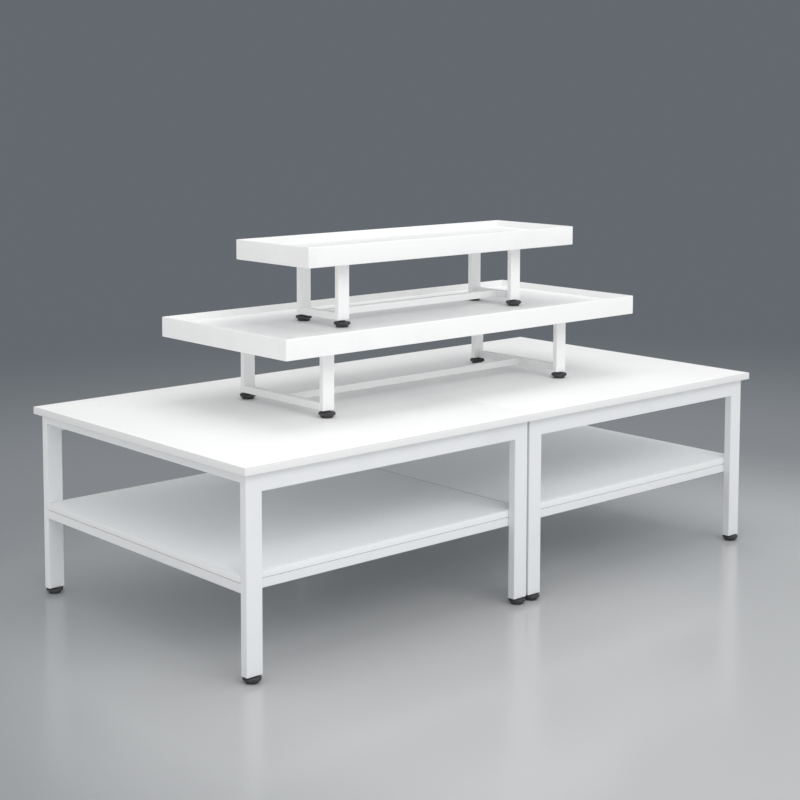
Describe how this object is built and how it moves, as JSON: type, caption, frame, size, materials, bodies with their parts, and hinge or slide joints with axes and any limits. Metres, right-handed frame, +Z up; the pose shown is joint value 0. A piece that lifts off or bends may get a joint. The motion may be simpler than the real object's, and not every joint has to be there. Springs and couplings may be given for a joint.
{
  "type": "tiered display table",
  "caption": "Tiered shop display table: square laminate topped base tables with a lower shelf, side by side, carrying lift-off white tray risers on levelling feet.",
  "frame": {"origin": "on the floor under the middle of the base, where the seam between the base tables crosses the middle of their depth", "axes": "+X along the front to the right, +Y from the front to the back, +Z up"},
  "size_m": [2.44, 1.22, 1.235],
  "materials": {
    "white_steel": "satin powder coat",
    "white_tray": "satin powder coat",
    "white_laminate": "fine matt laminate",
    "black_plastic": "matt moulded"
  },
  "bodies": {
    "left_table": {"left_back_apron": "white_steel", "left_back_inner_leg": "white_steel", "left_back_outer_leg": "white_steel", "left_front_apron": "white_steel", "left_front_inner_leg": "white_steel", "left_front_outer_leg": "white_steel", "left_inner_end_rail": "white_steel", "left_outer_end_rail": "white_steel", "left_shelf_board": "white_laminate", "left_shelf_cross_rails": "white_steel", "left_shelf_long_rails": "white_steel", "left_top_board": "white_laminate", "left_top_cross_rail": "white_steel"},
    "right_table": {"right_back_apron": "white_steel", "right_back_inner_leg": "white_steel", "right_back_outer_leg": "white_steel", "right_front_apron": "white_steel", "right_front_inner_leg": "white_steel", "right_front_outer_leg": "white_steel", "right_inner_end_rail": "white_steel", "right_outer_end_rail": "white_steel", "right_shelf_board": "white_laminate", "right_shelf_cross_rails": "white_steel", "right_shelf_long_rails": "white_steel", "right_top_board": "white_laminate", "right_top_cross_rail": "white_steel"},
    "middle_riser": {"middle_riser_cross_rails": "white_steel", "middle_riser_left_back_leg": "white_steel", "middle_riser_left_front_leg": "white_steel", "middle_riser_left_stretcher": "white_steel", "middle_riser_long_stretcher": "white_steel", "middle_riser_right_back_leg": "white_steel", "middle_riser_right_front_leg": "white_steel", "middle_riser_right_stretcher": "white_steel", "middle_riser_tray": "white_tray"},
    "top_riser": {"top_riser_cross_rails": "white_steel", "top_riser_left_back_leg": "white_steel", "top_riser_left_front_leg": "white_steel", "top_riser_left_stretcher": "white_steel", "top_riser_long_stretcher": "white_steel", "top_riser_right_back_leg": "white_steel", "top_riser_right_front_leg": "white_steel", "top_riser_right_stretcher": "white_steel", "top_riser_tray": "white_tray"},
    "left_back_inner_foot": {"left_back_inner_foot": "black_plastic"},
    "left_back_outer_foot": {"left_back_outer_foot": "black_plastic"},
    "left_front_inner_foot": {"left_front_inner_foot": "black_plastic"},
    "left_front_outer_foot": {"left_front_outer_foot": "black_plastic"},
    "middle_riser_left_back_foot": {"middle_riser_left_back_foot": "black_plastic"},
    "middle_riser_left_front_foot": {"middle_riser_left_front_foot": "black_plastic"},
    "middle_riser_right_back_foot": {"middle_riser_right_back_foot": "black_plastic"},
    "middle_riser_right_front_foot": {"middle_riser_right_front_foot": "black_plastic"},
    "right_back_inner_foot": {"right_back_inner_foot": "black_plastic"},
    "right_back_outer_foot": {"right_back_outer_foot": "black_plastic"},
    "right_front_inner_foot": {"right_front_inner_foot": "black_plastic"},
    "right_front_outer_foot": {"right_front_outer_foot": "black_plastic"},
    "top_riser_left_back_foot": {"top_riser_left_back_foot": "black_plastic"},
    "top_riser_left_front_foot": {"top_riser_left_front_foot": "black_plastic"},
    "top_riser_right_back_foot": {"top_riser_right_back_foot": "black_plastic"},
    "top_riser_right_front_foot": {"top_riser_right_front_foot": "black_plastic"}
  },
  "joints": [
    {"name": "right_table_apart", "type": "slide", "parent": "left_table", "child": "right_table", "axis": [1, 0, 0], "range_m": [0, 0.5]},
    {"name": "middle_riser_lift", "type": "slide", "parent": "left_table", "child": "middle_riser", "axis": [0, 0, 1], "range_m": [0, 0.35]},
    {"name": "top_riser_lift", "type": "slide", "parent": "middle_riser", "child": "top_riser", "axis": [0, 0, 1], "range_m": [0, 0.3]},
    {"name": "left_back_inner_foot_screw", "type": "slide", "parent": "left_table", "child": "left_back_inner_foot", "axis": [0, 0, -1], "range_m": [0, 0.015]},
    {"name": "left_back_outer_foot_screw", "type": "slide", "parent": "left_table", "child": "left_back_outer_foot", "axis": [0, 0, -1], "range_m": [0, 0.015]},
    {"name": "left_front_inner_foot_screw", "type": "slide", "parent": "left_table", "child": "left_front_inner_foot", "axis": [0, 0, -1], "range_m": [0, 0.015]},
    {"name": "left_front_outer_foot_screw", "type": "slide", "parent": "left_table", "child": "left_front_outer_foot", "axis": [0, 0, -1], "range_m": [0, 0.015]},
    {"name": "middle_riser_left_back_foot_screw", "type": "slide", "parent": "middle_riser", "child": "middle_riser_left_back_foot", "axis": [0, 0, 1], "range_m": [0, 0.0027]},
    {"name": "middle_riser_left_front_foot_screw", "type": "slide", "parent": "middle_riser", "child": "middle_riser_left_front_foot", "axis": [0, 0, 1], "range_m": [0, 0.0027]},
    {"name": "middle_riser_right_back_foot_screw", "type": "slide", "parent": "middle_riser", "child": "middle_riser_right_back_foot", "axis": [0, 0, 1], "range_m": [0, 0.0027]},
    {"name": "middle_riser_right_front_foot_screw", "type": "slide", "parent": "middle_riser", "child": "middle_riser_right_front_foot", "axis": [0, 0, 1], "range_m": [0, 0.0027]},
    {"name": "right_back_inner_foot_screw", "type": "slide", "parent": "right_table", "child": "right_back_inner_foot", "axis": [0, 0, -1], "range_m": [0, 0.015]},
    {"name": "right_back_outer_foot_screw", "type": "slide", "parent": "right_table", "child": "right_back_outer_foot", "axis": [0, 0, -1], "range_m": [0, 0.015]},
    {"name": "right_front_inner_foot_screw", "type": "slide", "parent": "right_table", "child": "right_front_inner_foot", "axis": [0, 0, -1], "range_m": [0, 0.015]},
    {"name": "right_front_outer_foot_screw", "type": "slide", "parent": "right_table", "child": "right_front_outer_foot", "axis": [0, 0, -1], "range_m": [0, 0.015]},
    {"name": "top_riser_left_back_foot_screw", "type": "slide", "parent": "top_riser", "child": "top_riser_left_back_foot", "axis": [0, 0, 1], "range_m": [0, 0.0027]},
    {"name": "top_riser_left_front_foot_screw", "type": "slide", "parent": "top_riser", "child": "top_riser_left_front_foot", "axis": [0, 0, 1], "range_m": [0, 0.0027]},
    {"name": "top_riser_right_back_foot_screw", "type": "slide", "parent": "top_riser", "child": "top_riser_right_back_foot", "axis": [0, 0, 1], "range_m": [0, 0.0027]},
    {"name": "top_riser_right_front_foot_screw", "type": "slide", "parent": "top_riser", "child": "top_riser_right_front_foot", "axis": [0, 0, 1], "range_m": [0, 0.0027]}
  ]
}
